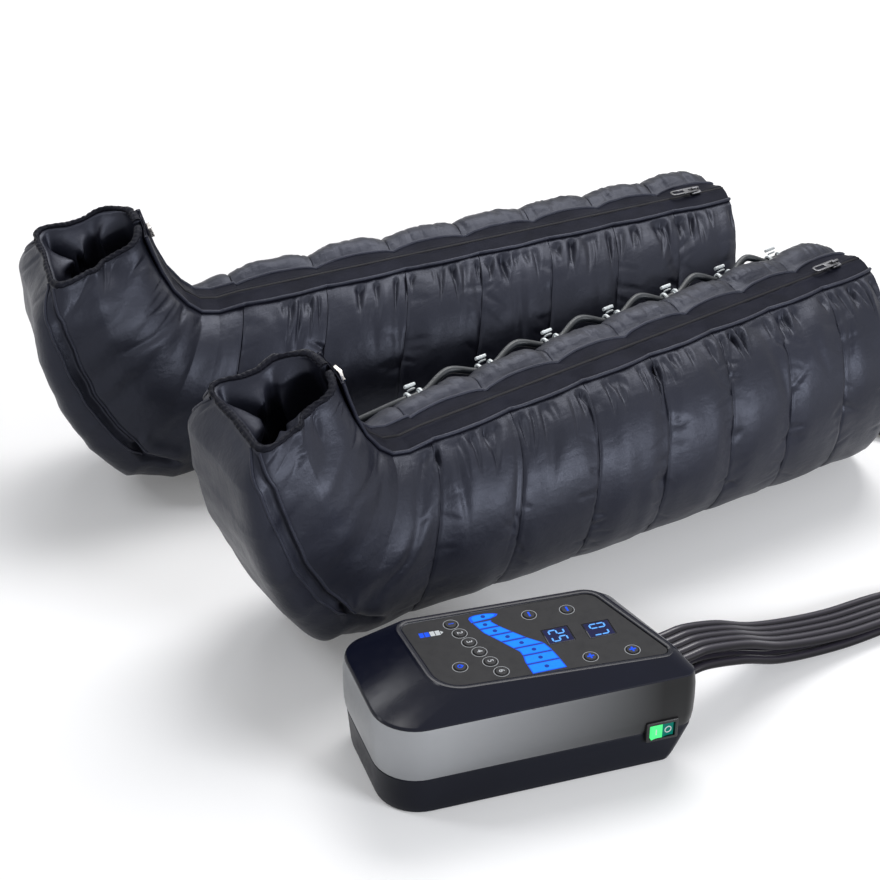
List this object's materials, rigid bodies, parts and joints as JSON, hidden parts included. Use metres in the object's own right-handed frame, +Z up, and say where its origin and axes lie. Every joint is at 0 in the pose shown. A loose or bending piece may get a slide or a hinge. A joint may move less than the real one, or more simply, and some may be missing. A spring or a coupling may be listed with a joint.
{
  "type": "pair of compression boots",
  "caption": "Pair of inflatable full-leg compression boots with ringed air chambers, open toes and long front zips, joined by air hoses to a box-shaped control unit with keys.",
  "frame": {"origin": "middle of the floor that the boots and the control unit cover, at floor height, hose bands left out", "axes": "+X from the toes towards the thighs of the near boot, +Y from the control unit towards the far boot, +Z up"},
  "size_m": [1.2872, 0.9789, 0.3382],
  "materials": {
    "nylon": "satin nylon",
    "zip_tape": "woven tape",
    "binding": "woven binding",
    "dark_metal": "satin",
    "bright_metal": "polished",
    "air_hose": "satin",
    "hose_band": "satin",
    "connector": "semi-clear",
    "plug": "matte",
    "upper_case": "satin metallic",
    "lower_case": "satin",
    "overlay": "matte film",
    "display": "gloss",
    "key": "matte",
    "rocker": "translucent",
    "rocker_frame": "matte",
    "circuit_board": "matte",
    "pump": "satin"
  },
  "bodies": {
    "assembly": {"near_foot_chamber": "nylon", "near_leg_chamber_1": "nylon", "near_leg_chamber_2": "nylon", "near_leg_chamber_3": "nylon", "near_leg_chamber_4": "nylon", "near_leg_chamber_5": "nylon", "near_leg_chamber_6": "nylon", "near_leg_chamber_7": "nylon", "near_zip_tape": "zip_tape", "near_toe_binding": "binding", "near_hose_loom": "air_hose", "near_zip_end": "bright_metal", "near_connector_1": "connector", "near_connector_2": "connector", "near_connector_3": "connector", "near_connector_4": "connector", "near_connector_5": "connector", "near_connector_6": "connector", "near_connector_7": "connector", "far_foot_chamber": "nylon", "far_leg_chamber_1": "nylon", "far_leg_chamber_2": "nylon", "far_leg_chamber_3": "nylon", "far_leg_chamber_4": "nylon", "far_leg_chamber_5": "nylon", "far_leg_chamber_6": "nylon", "far_leg_chamber_7": "nylon", "far_zip_tape": "zip_tape", "far_toe_binding": "binding", "far_hose_loom": "air_hose", "far_zip_end": "bright_metal", "near_hose_band": "hose_band", "far_hose_band": "hose_band", "unit_upper_case": "upper_case", "unit_lower_case": "lower_case", "unit_rocker_frame": "rocker_frame", "near_hose_plug": "plug", "far_hose_plug": "plug", "unit_time_display": "display", "unit_pressure_display": "display", "unit_overlay": "overlay", "unit_circuit_board": "circuit_board", "unit_air_pump": "pump"},
    "near_slider": {"near_zip_slider": "dark_metal"},
    "near_tab": {"near_pull_tab": "dark_metal"},
    "far_slider": {"far_zip_slider": "dark_metal"},
    "far_tab": {"far_pull_tab": "dark_metal"},
    "mode_key_1": {"unit_mode_key_1": "key"},
    "mode_key_2": {"unit_mode_key_2": "key"},
    "mode_key_3": {"unit_mode_key_3": "key"},
    "mode_key_4": {"unit_mode_key_4": "key"},
    "mode_key_5": {"unit_mode_key_5": "key"},
    "mode_key_6": {"unit_mode_key_6": "key"},
    "power_key": {"unit_power_key": "key"},
    "time_minus_key": {"unit_time_minus_key": "key"},
    "pressure_minus_key": {"unit_pressure_minus_key": "key"},
    "time_plus_key": {"unit_time_plus_key": "key"},
    "pressure_plus_key": {"unit_pressure_plus_key": "key"},
    "rocker": {"unit_rocker": "rocker"}
  },
  "joints": [
    {"name": "near_zip_slide", "type": "slide", "parent": "assembly", "child": "near_slider", "axis": [-0.9976, 0, -0.0688], "range_m": [0, 0.5]},
    {"name": "near_tab_hinge", "type": "hinge", "parent": "near_slider", "child": "near_tab", "pos_m": [0.40088, -0.0597, 0.26027], "axis": [0, 1, 0], "range_deg": [0, 150]},
    {"name": "far_zip_slide", "type": "slide", "parent": "assembly", "child": "far_slider", "axis": [-0.9736, 0.2177, -0.0688], "range_m": [0, 0.5]},
    {"name": "far_tab_hinge", "type": "hinge", "parent": "far_slider", "child": "far_tab", "pos_m": [0.37581, 0.17667, 0.27068], "axis": [0.2182, 0.9759, 0], "range_deg": [0, 150]},
    {"name": "mode_key_1_press", "type": "slide", "parent": "assembly", "child": "mode_key_1", "axis": [0, 0, -1], "range_m": [0, 0.0008], "stiffness_N_per_m": 350, "springref_m": -0.0002},
    {"name": "mode_key_2_press", "type": "slide", "parent": "assembly", "child": "mode_key_2", "axis": [0, 0, -1], "range_m": [0, 0.0008], "stiffness_N_per_m": 350, "springref_m": -0.0002},
    {"name": "mode_key_3_press", "type": "slide", "parent": "assembly", "child": "mode_key_3", "axis": [0, 0, -1], "range_m": [0, 0.0008], "stiffness_N_per_m": 350, "springref_m": -0.0002},
    {"name": "mode_key_4_press", "type": "slide", "parent": "assembly", "child": "mode_key_4", "axis": [0, 0, -1], "range_m": [0, 0.0008], "stiffness_N_per_m": 350, "springref_m": -0.0002},
    {"name": "mode_key_5_press", "type": "slide", "parent": "assembly", "child": "mode_key_5", "axis": [0, 0, -1], "range_m": [0, 0.0008], "stiffness_N_per_m": 350, "springref_m": -0.0002},
    {"name": "mode_key_6_press", "type": "slide", "parent": "assembly", "child": "mode_key_6", "axis": [0, 0, -1], "range_m": [0, 0.0008], "stiffness_N_per_m": 350, "springref_m": -0.0002},
    {"name": "power_key_press", "type": "slide", "parent": "assembly", "child": "power_key", "axis": [0, 0, -1], "range_m": [0, 0.0008], "stiffness_N_per_m": 350, "springref_m": -0.0002},
    {"name": "time_minus_key_press", "type": "slide", "parent": "assembly", "child": "time_minus_key", "axis": [0, 0, -1], "range_m": [0, 0.0008], "stiffness_N_per_m": 350, "springref_m": -0.0002},
    {"name": "pressure_minus_key_press", "type": "slide", "parent": "assembly", "child": "pressure_minus_key", "axis": [0, 0, -1], "range_m": [0, 0.0008], "stiffness_N_per_m": 350, "springref_m": -0.0002},
    {"name": "time_plus_key_press", "type": "slide", "parent": "assembly", "child": "time_plus_key", "axis": [0, 0, -1], "range_m": [0, 0.0008], "stiffness_N_per_m": 350, "springref_m": -0.0002},
    {"name": "pressure_plus_key_press", "type": "slide", "parent": "assembly", "child": "pressure_plus_key", "axis": [0, 0, -1], "range_m": [0, 0.0008], "stiffness_N_per_m": 350, "springref_m": -0.0002},
    {"name": "rocker_tilt", "type": "hinge", "parent": "assembly", "child": "rocker", "pos_m": [-0.12238, -0.43163, 0.047], "axis": [0, 0, 1], "range_deg": [-12, 0]}
  ]
}
